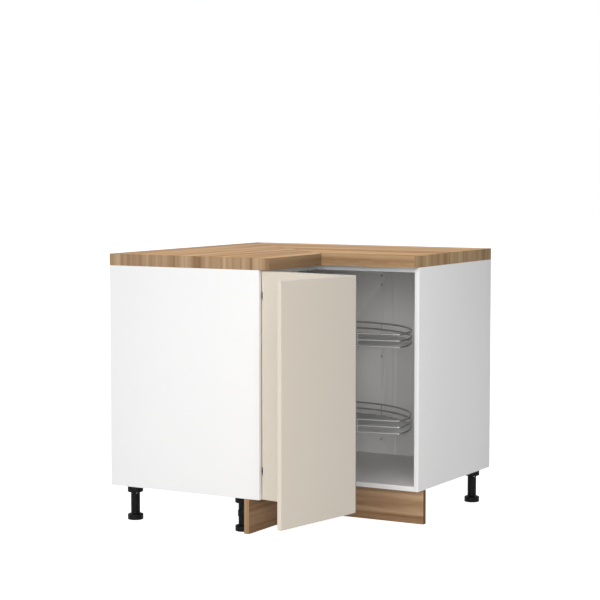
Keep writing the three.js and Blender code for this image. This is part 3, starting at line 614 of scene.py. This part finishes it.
cam = {"radius": 7.5, "rise": 0.7, "inset": 34, "underRails": (30, 75), "underPanel": (60, 280, 500)}
railFoot = inMm("front_rail_left")[0].z
panelFoot, innerEnd = inMm("bottom_panel")[0].z, inMm("bottom_panel")[1].x
carcassDepth = inMm("front_rail_left")[1].x
camLine = innerEnd - cam["inset"]
camPlaces = []
railOffsets = [carcassDepth - setback for setback in cam["underRails"]]
for offsets, foot in ((railOffsets, railFoot), (cam["underPanel"], panelFoot)):
    for offset in offsets:
        camPlaces += [((offset, -camLine, foot), (0, 0, -1)), ((camLine, -offset, foot), (0, 0, -1))]
detail("cam_locks", "steel", screws(camPlaces, cam["radius"], cam["rise"]), "cabinet", "hinge_steel")
print("caps and cams made", len(capHeads) + len(camPlaces))

legSizes = {
    "bore": 10.4, "boreTop": 81, "column": 15, "flange": 25.5, "flangeHeight": 20, "taper": 4, "top": 112,
    "gap": 0.3, "sole": 25.5, "soleHeight": 18, "soleTaper": 3, "collarTop": 27, "stem": 10, "stemTop": 77,
    "edge": 0.8, "neckRound": 2.5, "flangeRound": 2, "soleRounds": (2.5, 3, 2), "stemRound": 1,
    "soleSides": 96, "grips": 12, "gripDepth": 0.8, "gripPower": 4, "gripMargin": 2, "gripBand": 0.5,
    "screwRing": 20.6, "screwLevel": 90.4, "screwRadius": 2.6, "screwRise": 1.2,
}


def legSocket():
    s = legSizes
    under = s["top"] - s["flangeHeight"]
    foot = s["collarTop"] + s["gap"]
    return revolved("leg", [
        (s["bore"], foot, 0), (s["column"], foot, s["edge"]), (s["column"], under - s["taper"], s["neckRound"]),
        (s["flange"], under, s["flangeRound"]), (s["flange"], s["top"], s["edge"]), (0, s["top"], 0),
        (0, s["boreTop"], 0), (s["bore"], s["boreTop"], 0)])


def legSole():
    s = legSizes
    low, high, neck = s["soleRounds"]
    mesh = revolved("sole", [
        (0, 0, 0), (s["sole"], 0, low), (s["sole"], s["soleHeight"], high),
        (s["column"], s["soleHeight"] + s["soleTaper"], neck), (s["column"], s["collarTop"], s["edge"]),
        (s["stem"], s["collarTop"], 0), (s["stem"], s["stemTop"], s["stemRound"]),
        (0, s["stemTop"], 0)], s["soleSides"])
    for vert in mesh.vertices:  # shallow grips round the rim
        radius = math.hypot(vert.co.x, vert.co.y)
        if radius > s["sole"] - s["gripBand"] and s["gripMargin"] < vert.co.z < s["soleHeight"] - s["gripMargin"]:
            angle = math.atan2(vert.co.y, vert.co.x)
            dip = s["gripDepth"] * max(0, math.cos(s["grips"] * angle)) ** s["gripPower"]
            vert.co.x, vert.co.y = (v * (radius - dip) / radius for v in (vert.co.x, vert.co.y))
    return mesh


legPlaces = {node: centreOf(node) for node in slots if node.startswith("leg_") and not node.endswith("_foot")}
legScrews = []
for node, place in legPlaces.items():
    place.z = 0
    standIn(node + "_socket", "black", legSocket(), place, upright, node)
    standIn(node + "_sole", "black", legSole(), place, upright, node + "_foot")
    centre = (place - wallCorner) / mm
    legScrews += [(centre + p, (0, 0, -1)) for p in fourRound(legSizes["screwRing"], legSizes["screwLevel"])]
legHeads = screws(legScrews, legSizes["screwRadius"], legSizes["screwRise"])
detail("leg_screws", "steel", legHeads, "cabinet", "hinge_steel")

clipSizes = {"grip": 15.3, "wall": 3, "neck": 9, "pad": 34, "mouth": 128, "low": 48, "high": 68, "steps": 40,
             "gap": 0.3, "edge": 0.4, "neckRound": 1.5, "backRound": 1, "frontRound": 0.8}


def plinthClip(reach):
    s = clipSizes
    outer, steps = s["grip"] + s["wall"], s["steps"]
    neck, half, back = s["neck"] / 2, s["pad"] / 2, reach - s["wall"]
    neckTurn, mouth = math.asin(neck / outer), math.radians(s["mouth"])
    left = [(back, neck, s["neckRound"]), (back, half, s["backRound"]), (reach, half, s["frontRound"])]
    right = [(x, -y, radius) for x, y, radius in reversed(left)]
    outline = [*arcPoints(outer, mouth, neckTurn, steps), *left, *right,
               *arcPoints(outer, -neckTurn, -mouth, steps), *arcPoints(s["grip"], -mouth, mouth, steps)]
    return extruded("clip", roundedPath(outline), s["low"], s["high"], s["edge"])


legLeft, legRight = legPlaces["leg_left_end_front"], legPlaces["leg_right_end_front"]
clipReaches = {"left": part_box("plinth_left")[0][0] - legLeft.x,
               "right": legRight.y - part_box("plinth_right")[1][1]}
for side, leg, turn in (("left", legLeft, 0), ("right", legRight, -math.pi / 2)):
    clip = plinthClip(clipReaches[side] / mm - clipSizes["gap"])
    turned = Matrix.Rotation(turn, 4, "Z")
    standIn(f"plinth_clip_{side}_spring", "black", clip, leg, turned, f"plinth_clip_{side}")

bracket = {"wall": 3, "edge": 0.5, "endRound": 1, "cornerRound": 3, "screwMargin": 10, "screwsAlong": (14, 18),
           "screwRadius": 3.4, "screwRise": 1.6}
low, high = inMm("plinth_corner_bracket")
inner = Vector((low.x + bracket["wall"], high.y - bracket["wall"]))
bracketOutline = [
    (low.x, low.y, bracket["endRound"]), (inner.x, low.y, bracket["endRound"]), (inner.x, inner.y, 0),
    (high.x, inner.y, bracket["endRound"]), (high.x, high.y, bracket["endRound"]),
    (low.x, high.y, bracket["cornerRound"])]
bracketPlate = extruded("bracket", roundedPath(bracketOutline), low.z, high.z, bracket["edge"])
bracketScrews = []
for z in (low.z + bracket["screwMargin"], high.z - bracket["screwMargin"]):
    bracketScrews.append(((low.x, low.y + bracket["screwsAlong"][0], z), (-1, 0, 0)))
    bracketScrews.append(((high.x - bracket["screwsAlong"][1], high.y, z), (0, 1, 0)))
bracketHeads = screws(bracketScrews, bracket["screwRadius"], bracket["screwRise"])
standIn("plinth_corner_plate", "steel", joined("bracket", bracketPlate, bracketHeads), wallCorner, upright,
        "plinth_corner_bracket")
print("legs, clips and bracket made")

carousel = {
    "ring": 361, "notch": 52, "rise": 21, "turn": 8.5, "bend": 9, "rimWire": 3, "spokeWire": 2, "floorWire": 1.5,
    "pitch": 22, "weld": 0.7, "spokeAngles": [12, 62, 98, 134, 168, 205, 240], "edgeRow": 9.5, "arcSteps": 96,
    "hubRadius": 20, "hubFlange": 32, "hubFlangeHeight": 3, "hubHalf": 22, "groove": (-14, -7), "grooveDepth": 1,
    "plate": 55, "plateHeight": 3, "plateRim": 5, "plateSlope": 2, "plateDip": 1.1, "screwDip": 1.2,
    "screwRadius": 3.2, "screwRise": 1.6, "pole": 12.5, "poleWall": 1.5, "clearance": 0.4, "gap": 0.3,
    "collarWall": 8, "collarHeight": 12, "boss": 4, "bossLength": 9, "bossBore": 2, "bossBoreEnd": 6.5,
    "bossSides": 24, "plateSides": 72, "sides": 64,
}
poleAxis = centreOf("pole").xy


def rimPath():
    c = carousel
    start = math.asin(-c["notch"] / c["ring"])
    end = 1.5 * math.pi - start
    corner = (c["ring"] * math.cos(start), -c["notch"])
    arc = arcPoints(c["ring"], start, end, c["arcSteps"])[1:-1]
    corners = [(*corner, c["bend"]), *arc, (-corner[1], -corner[0], c["bend"]),
               (c["notch"], -c["notch"], c["bend"])]
    return roundedPath(corners, steps=6)


def rimWires(levels):
    path = rimPath()
    loop = [(k, (k + 1) % len(path)) for k in range(len(path))]
    meshes = [pointsMesh([(p.x, p.y, level) for p in path], loop) for level in levels]
    return [grown(wireTree, mesh, "wire", Radius=carousel["rimWire"], Sides=12) for mesh in meshes]


def spokePlaces():  # each spoke of the curved edge stands midway between two floor wires
    c = carousel
    places = []
    for degrees in c["spokeAngles"]:
        angle = math.radians(degrees)
        row = math.floor(c["ring"] * math.sin(angle) / c["pitch"]) + 0.5
        y = max(-c["ring"], min(c["ring"], row * c["pitch"]))
        places.append((math.copysign(math.sqrt(c["ring"] ** 2 - y ** 2), math.cos(angle)), y, 0))
    edge = c["edgeRow"] * c["pitch"]
    return places + [(edge, -c["notch"], 0), (c["notch"], -edge, 0)]


def basketRim():
    rise, wire = carousel["rise"], carousel["spokeWire"]
    spokes = grown(postTree, pointsMesh(spokePlaces()), "wire", Radius=wire, Height=2 * rise)
    return joined("rim", *rimWires([rise, 2 * rise]), spokes)


def basketFloor():
    c = carousel
    level = c["rimWire"] + c["floorWire"] - c["weld"]
    count = 2 * math.floor((c["ring"] - 2 * c["rimWire"]) / c["pitch"]) + 1
    wires = grown(floorTree, pointsMesh([(0, 0, 0)]), "wire", Ring=c["ring"], Notch=c["notch"],
                  Pitch=c["pitch"], Wire=c["floorWire"], Level=level, Count=count)
    low = level - c["floorWire"]
    high = low + c["plateHeight"]
    bore = c["hubRadius"] + c["clearance"]
    shelf = c["plate"] - c["plateRim"]
    outer, inner = shelf - c["plateSlope"], c["hubFlange"] + c["plateSlope"]
    dip = high - c["plateDip"]
    plate = revolved("plate", [
        (bore, low, 0), (c["plate"], low, 0.8), (c["plate"], high, 0.8), (shelf, high, 0.8), (outer, dip, 0.5),
        (inner, dip, 0.5), (c["hubFlange"], high, 0.5), (bore, high, 0)], c["plateSides"])
    heads = [(p, (0, 0, 1)) for p in fourRound((outer + inner) / 2, high - c["screwDip"])]
    return joined("floor", *rimWires([0]), wires, plate, screws(heads, c["screwRadius"], c["screwRise"]))


def hubSleeve():
    c = carousel
    bore, radius, half = c["pole"] + c["clearance"], c["hubRadius"], c["hubHalf"]
    waist = radius - c["grooveDepth"]
    grooveLow, grooveHigh = c["groove"]
    top = c["rimWire"] - c["weld"] - c["gap"]
    low = top - c["hubFlangeHeight"]
    return revolved("hub", [
        (bore, -half, 0.6), (radius, -half, 1.2), (radius, grooveLow, 0.4),
        (waist, grooveLow + c["grooveDepth"], 0.4), (waist, grooveHigh - c["grooveDepth"], 0.4),
        (radius, grooveHigh, 0.4), (radius, low, 0.8), (c["hubFlange"], low, 0.8), (c["hubFlange"], top, 0.6),
        (radius, top, 0), (radius, half, 1.5), (bore, half, 0.8)], c["sides"])


def clampCollar():
    c = carousel
    bore = c["pole"] + c["gap"]
    outer = bore + c["collarWall"]
    top = -c["hubHalf"] - c["gap"]
    low = top - c["collarHeight"]
    ring = [(bore, low, 0.5), (outer, low, 1), (outer, top, 1), (bore, top, 0.5)]
    boss = [(0, 0, 0), (c["boss"], 0, 0), (c["boss"], c["bossLength"], 0.6), (c["bossBore"], c["bossLength"], 0),
            (c["bossBore"], c["bossBoreEnd"], 0), (0, c["bossBoreEnd"], 0)]
    bossFoot = (outer - c["boss"], 0, (top + low) / 2)
    return joined("collar", revolved("collar", ring, c["sides"]),
                  revolved("boss", boss, c["bossSides"], zToX, bossFoot))


for level in ("lower", "upper"):
    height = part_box(f"basket_{level}_floor")[0][2] + carousel["rimWire"] * mm
    place = Vector((*poleAxis, height))
    turn = Matrix.Rotation(math.radians(carousel["turn"]), 4, "Z")
    standIn(f"basket_{level}_rails", "wire", basketRim(), place, turn, f"basket_{level}_rim")
    standIn(f"basket_{level}_grid", "wire", basketFloor(), place, turn, f"basket_{level}_floor")
    standIn(f"basket_{level}_sleeve", "grey", hubSleeve(), place, turn, f"basket_{level}_hub")
    standIn(f"basket_{level}_stop", "steel", clampCollar(), place, upright, f"basket_{level}_collar")

low, high = (corner.z for corner in inMm("pole"))
radius, bore = carousel["pole"], carousel["pole"] - carousel["poleWall"]
poleOutline = [(bore, low, 0.3), (radius, low, 0.5), (radius, high, 0.5), (bore, high, 0.3)]
poleTube = revolved("pole", poleOutline, carousel["sides"])
standIn("pole_tube", "wire", poleTube, Vector((*poleAxis, 0)), upright, "pole")

bearing = {"flange": 40, "flangeHeight": 4, "cone": 2, "cup": 12.8, "wall": 5, "height": 22, "sides": 64,
           "screwRing": 30, "screwLift": 0.4, "screwRadius": 3.6, "screwRise": 1.5}


def poleBearing():
    b = bearing
    outer, step = b["cup"] + b["wall"], b["flangeHeight"]
    body = revolved("bearing", [
        (0, 0, 0), (b["flange"], 0, 0.6), (b["flange"], step, 1.5), (outer, step + b["cone"], 1.5),
        (outer, b["height"], 1.2), (b["cup"], b["height"], 0.8), (b["cup"], step, 0), (0, step, 0)], b["sides"])
    heads = [(p, (0, 0, 1)) for p in fourRound(b["screwRing"], step + b["screwLift"])]
    return joined("bearing", body, screws(heads, b["screwRadius"], b["screwRise"]))


floorPlace = Vector((*poleAxis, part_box("pole_bearing_floor")[0][2]))
topPlace = Vector((*poleAxis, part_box("pole_bearing_top")[1][2]))
upsideDown = Matrix.Rotation(math.pi, 4, "X")
standIn("pole_socket_floor", "grey", poleBearing(), floorPlace, upright, "pole_bearing_floor")
standIn("pole_socket_top", "grey", poleBearing(), topPlace, upsideDown, "pole_bearing_top")
print("carousel made")

hinge = {  # from the hinge's axis, with x out of the closed door's face and y along the leaf
    "cup": 17.5, "cupDepth": 11.25, "cupWall": 1, "rim": 1.5, "face": -10, "flange": 1, "centre": 15.2,
    "end": -6.8, "seam": 0.1, "mouth": (-12.8, 12.2), "mouthSpare": 2, "slot": 7.9,
    "earSpread": 24, "earRadius": 6, "earOffset": 9.5, "earHalf": 5.4,
    "cheek": 1.2, "cheekGap": 0.3, "cheekMargin": 1.4, "cheekEnd": 5.45, "pin": 1.2, "pinHalf": 8.5,
    "armHalf": 7.5, "armWall": 2, "boss": 2.75, "knee": (-14.5, 8.2), "tail": -70.5, "tailRound": 0.9,
    "kneeRounds": (1, 2), "plateLine": -49.5, "plateLength": 50, "plateFoot": -2.8, "plateTop": 7.2,
    "spineHalf": 6.5, "wing": 12, "wingSpread": 26, "wingWall": 2,
    "plateScrews": 16, "armScrews": (0, -14), "adjuster": 22,  # places of the screws along the plate
    "earHead": (3.6, 0.9), "plateHead": (3.8, 1.5), "armHead": (4.6, 1.5), "adjusterHead": (3, 0.8),
    "cupSides": 64, "earSides": 32, "barrelSides": 28, "pinSides": 20,
}
hingeAxis = Vector(joints["door_swing"]["pos_m"])
restTurn = Matrix.Rotation(math.radians(joints["door_swing"]["range_deg"][0]), 4, "Z")  # closed door to rest


def hingeCup():
    h = hinge
    face, front, back, radius = h["face"], h["face"] - h["flange"], h["face"] - h["seam"], h["cup"]
    floor, inside = face + h["cupDepth"], h["cup"] - h["cupWall"]
    rim = radius + h["rim"]
    bowl = [(0, floor, 0), (radius, floor, 1), (radius, back, 0), (rim, back, 0.3), (rim, front, 0.5),
            (inside, front, 0.4), (inside, floor - h["cupWall"], 1.2), (0, floor - h["cupWall"], 0)]
    shell = revolved("cup", bowl, h["cupSides"], zToX, (0, h["centre"], 0))
    through = (front - h["mouthSpare"], floor + h["mouthSpare"])
    shell = carved(shell, cuboid("mouth", through, h["mouth"], (-h["slot"], h["slot"]), edge=0))
    line = h["centre"] + h["earOffset"]
    reach = math.sqrt(radius ** 2 - h["earOffset"] ** 2)
    parts = [shell]
    for side in (-1, 1):
        spread = h["earSpread"] * side
        ear = [(0, front, 0), (h["earRadius"], front, 0.3), (h["earRadius"], back, 0), (0, back, 0)]
        wing = sorted((reach * side, spread))
        cheek = sorted((h["slot"] * side, (h["slot"] + h["cheek"]) * side))
        parts += [
            revolved("ear", ear, h["earSides"], zToX, (0, line, spread)),
            cuboid("wing", (front, back), (line - h["earHalf"], line + h["earHalf"]), wing, edge=0.2),
            cuboid("cheek", (face + h["cheekGap"], h["pin"] + h["cheekMargin"]),
                   (h["end"] + h["cheekGap"], h["cheekEnd"]), cheek, edge=0.3)]
    pin, half = h["pin"], h["pinHalf"]
    rod = [(0, -half, 0), (pin, -half, 0.3), (pin, half, 0.3), (0, half, 0)]
    parts.append(revolved("pin", rod, h["pinSides"]))
    heads = [((front, line, side * h["earSpread"]), (-1, 0, 0)) for side in (-1, 1)]
    return joined("hinge cup", *parts, screws(heads, *h["earHead"]))


def hingeArm():
    h = hinge
    knee, half, wide = h["knee"], h["armWall"] / 2, h["armHalf"]
    run = Vector(knee).normalized()
    side = Vector((-run.y, run.x)) * half
    low, high = knee[1] - half, knee[1] + half
    slope = run.x / run.y  # where the sloped faces meet the level ones
    underKnee, overKnee = (low * slope - half / run.y, low), (high * slope + half / run.y, high)
    outline = [
        (-side.x, -side.y, 0), (side.x, side.y, 0), (*underKnee, h["kneeRounds"][0]),
        (h["tail"], low, h["tailRound"]), (h["tail"], high, h["tailRound"]), (*overKnee, h["kneeRounds"][1])]
    strip = extruded("arm", roundedPath(outline), -wide, wide, edge=0.35)
    barrel = [(0, -wide, 0), (h["boss"], -wide, 0.4), (h["boss"], wide, 0.4), (0, wide, 0)]
    heads = [((h["plateLine"] + offset, high, 0), (0, 1, 0)) for offset in (*h["armScrews"], h["adjuster"])]
    return joined("hinge arm", strip, revolved("barrel", barrel, h["barrelSides"]),
                  screws(heads[:-1], *h["armHead"]), screws(heads[-1:], *h["adjusterHead"]))


def hingePlate():
    h = hinge
    line, foot = h["plateLine"], h["plateFoot"]

    def about(length):
        return (line - length / 2, line + length / 2)

    wingTop, half, spread = foot + h["wingWall"], h["spineHalf"], h["wingSpread"]
    spine = cuboid("spine", about(h["plateLength"]), (foot, h["plateTop"]), (-half, half), edge=0.8)
    wing = cuboid("wing", about(h["wing"]), (foot, wingTop), (-spread, spread), edge=0.6)
    heads = [((line, wingTop, side * h["plateScrews"]), (0, 1, 0)) for side in (-1, 1)]
    return joined("hinge plate", spine, wing, screws(heads, *h["plateHead"]))


for level in ("upper", "lower"):
    at = Vector((hingeAxis.x, hingeAxis.y, centreOf(f"hinge_{level}_plate").z))
    standIn(f"hinge_{level}_cup_shell", "steel", hingeCup(), at, restTurn, f"hinge_{level}_cup", "hinge")
    standIn(f"hinge_{level}_arm_strip", "steel", hingeArm(), at, upright, f"hinge_{level}_arm", "hinge")
    standIn(f"hinge_{level}_mount", "steel", hingePlate(), at, upright, f"hinge_{level}_plate", "hinge")

lip = {"inner": 2.5, "outer": 5.98, "start": -5.6, "end": -10.4, "rounds": (0.5, 1.6), "edge": 0.3,
       "short": 1, "window": 13}


def endLip():  # carries the left leaf's face past its end, and is open where the hinge arms pass
    section = roundedPath([(lip["inner"], lip["start"], 0), (lip["inner"], lip["end"], lip["rounds"][0]),
                           (lip["outer"], lip["end"], lip["rounds"][1]), (lip["outer"], lip["start"], 0)])
    low, high = inMm("door_leaf_left")
    arms = [centreOf(f"hinge_{level}_plate").z / mm for level in ("lower", "upper")]
    sills = [arm + side * lip["window"] for arm in arms for side in (-1, 1)]
    stops = [low.z + lip["short"], *sills, high.z - lip["short"]]
    spans = zip(stops[::2], stops[1::2])
    return joined("lip", *(extruded("lip", section, *span, lip["edge"]) for span in spans))


detail("door_left_lip", "leaf", endLip(), bodyHolding("door_leaf_left"), slots["door_leaf_left"],
       Vector((hingeAxis.x, hingeAxis.y, 0)), restTurn)

fold = {"knuckle": 2.5, "count": 27, "gap": 0.4, "plate": 0.8, "reach": 15.5, "offset": 0.15, "web": 2.4,
        "edge": 0.15, "pin": 1.05, "pinEdge": 0.3, "pinSides": 20}
foldAxis = Vector(joints["door_fold"]["pos_m"])
foldLow, foldHigh = inMm("fold_hinge_pin")
foldLength = foldHigh.z - foldLow.z
foldPitch = foldLength / fold["count"]
foldPlace = Vector((foldAxis.x, foldAxis.y, foldLow.z * mm))
acrossFold = Matrix(((0, -1, 0, 0), (-1, 0, 0, 0), (0, 0, 1, 0), (0, 0, 0, 1)))  # swaps the two leaves' sides


def foldStrip(first, count):
    f = fold
    strip = cuboid("strip", (f["knuckle"] + f["gap"], f["reach"]), (f["offset"], f["offset"] + f["plate"]),
                   (0, foldLength), f["edge"])
    row = grown(knuckleTree, pointsMesh([(0, 0, 0)]), "foldSteel", Radius=f["knuckle"],
                Length=foldPitch - f["gap"], Pitch=2 * foldPitch, Count=count, Reach=f["web"],
                Wall=f["plate"], Gap=f["offset"])
    row.transform(Matrix.Translation((0, 0, (first + 0.5) * foldPitch)))
    whole = joined("fold strip", strip, row)
    whole.transform(Matrix.Rotation(-math.pi / 4, 4, "Z"))
    return whole


def flipped(mesh):
    mesh.transform(acrossFold)
    mesh.flip_normals()
    return mesh


odd = fold["count"] // 2
leftStrip = flipped(foldStrip(0, fold["count"] - odd))
standIn("fold_strip_left", "foldSteel", leftStrip, foldPlace, restTurn, "fold_hinge_left")
standIn("fold_strip_right", "foldSteel", foldStrip(1, odd), foldPlace, restTurn, "fold_hinge_right")
foldRod = [(0, 0, 0), (fold["pin"], 0, fold["pinEdge"]), (fold["pin"], foldLength, fold["pinEdge"]),
           (0, foldLength, 0)]
foldPin = revolved("pin", foldRod, fold["pinSides"])
standIn("fold_pin_rod", "foldSteel", foldPin, foldPlace, upright, "fold_hinge_pin")
print("hinges made")

studio = {
    "ambient": 0.345, "aim": (0, 0, 0.45), "distance": 16,
    "lamps": {  # side and height in degrees, size in metres, power in watts
        "key": {"side": 20, "height": 10, "size": 11, "power": 2400},
        "back": {"side": 215, "height": 40, "size": 11, "power": 470},
    },
    "floor": {"reach": 30, "shade": 0.8, "roughness": 0.9, "lift": 0.85},
}


def seenDirectly(nodes):
    path = nodes.add("ShaderNodeLightPath")
    mirrored = path["Is Camera Ray"].math("MAXIMUM", path["Is Glossy Ray"])
    return mirrored.math("MAXIMUM", path["Is Transmission Ray"])


def makeWorld():  # white to the eye, and dimmer as a light
    world = bpy.data.worlds.new("studio")
    bpy.context.scene.world = world
    world.use_nodes = True
    nodes = Nodes(world.node_tree)
    background = world.node_tree.nodes["Background"]
    background.inputs["Color"].default_value = (1, 1, 1, 1)
    feed(nodes, background, "Strength", seenDirectly(nodes) * (1 - studio["ambient"]) + studio["ambient"])


def makeLamp(name, setup):
    light = bpy.data.lights.new(name, "AREA")
    light.energy, light.size, light.shape = setup["power"], setup["size"], "SQUARE"
    lamp = bpy.data.objects.new(name, light)
    bpy.context.scene.collection.objects.link(lamp)
    side, height = math.radians(setup["side"]), math.radians(setup["height"])
    outward = Vector((math.cos(height) * math.sin(side), -math.cos(height) * math.cos(side), math.sin(height)))
    lamp.location = Vector(studio["aim"]) + outward * studio["distance"]
    lamp.rotation_euler = (-outward).to_track_quat("-Z", "Y").to_euler()


def makeFloor():
    look = studio["floor"]
    reach, shade = look["reach"], look["shade"]
    mesh = bpy.data.meshes.new("floor")
    corners = [(-reach, -reach, 0), (reach, -reach, 0), (reach, reach, 0), (-reach, reach, 0)]
    mesh.from_pydata(corners, [], [(0, 1, 2, 3)])
    material, nodes, surface, _ = startMaterial("pale floor")
    surface.inputs["Base Color"].default_value = (shade, shade, shade, 1)
    surface.inputs["Roughness"].default_value = look["roughness"]
    surface.inputs["Specular IOR Level"].default_value = 0.0
    surface.inputs["Emission Color"].default_value = (1, 1, 1, 1)
    feed(nodes, surface, "Emission Strength", seenDirectly(nodes) * look["lift"])
    floor = addObject("floor", mesh, material)


makeWorld()
for name, setup in studio["lamps"].items():
    makeLamp(name, setup)
makeFloor()

cameraSetup = {  # millimetres from the wall corner, radians and pixels
    "place": (3484.91, -5827.43, 1174.23), "yaw": -0.5159, "pitch": -0.0761,
    "focalPixels": 1843.6, "frameWidth": 600, "sensor": 36.0, "clipEnd": 200,
}


def makeCamera():
    setup = cameraSetup
    data = bpy.data.cameras.new("camera")
    data.sensor_width, data.sensor_fit = setup["sensor"], "HORIZONTAL"
    data.lens = setup["focalPixels"] * setup["sensor"] / setup["frameWidth"]
    data.clip_end = setup["clipEnd"]
    camera = bpy.data.objects.new("camera", data)
    bpy.context.scene.collection.objects.link(camera)
    camera.location = wallCorner + Vector(setup["place"]) * mm
    yaw, pitch = setup["yaw"], setup["pitch"]
    ahead = Vector((math.sin(yaw) * math.cos(pitch), math.cos(yaw) * math.cos(pitch), math.sin(pitch)))
    camera.rotation_euler = ahead.to_track_quat("-Z", "Y").to_euler()
    bpy.context.scene.camera = camera


makeCamera()
bpy.context.scene.view_settings.view_transform = "Standard"
print("studio ready")
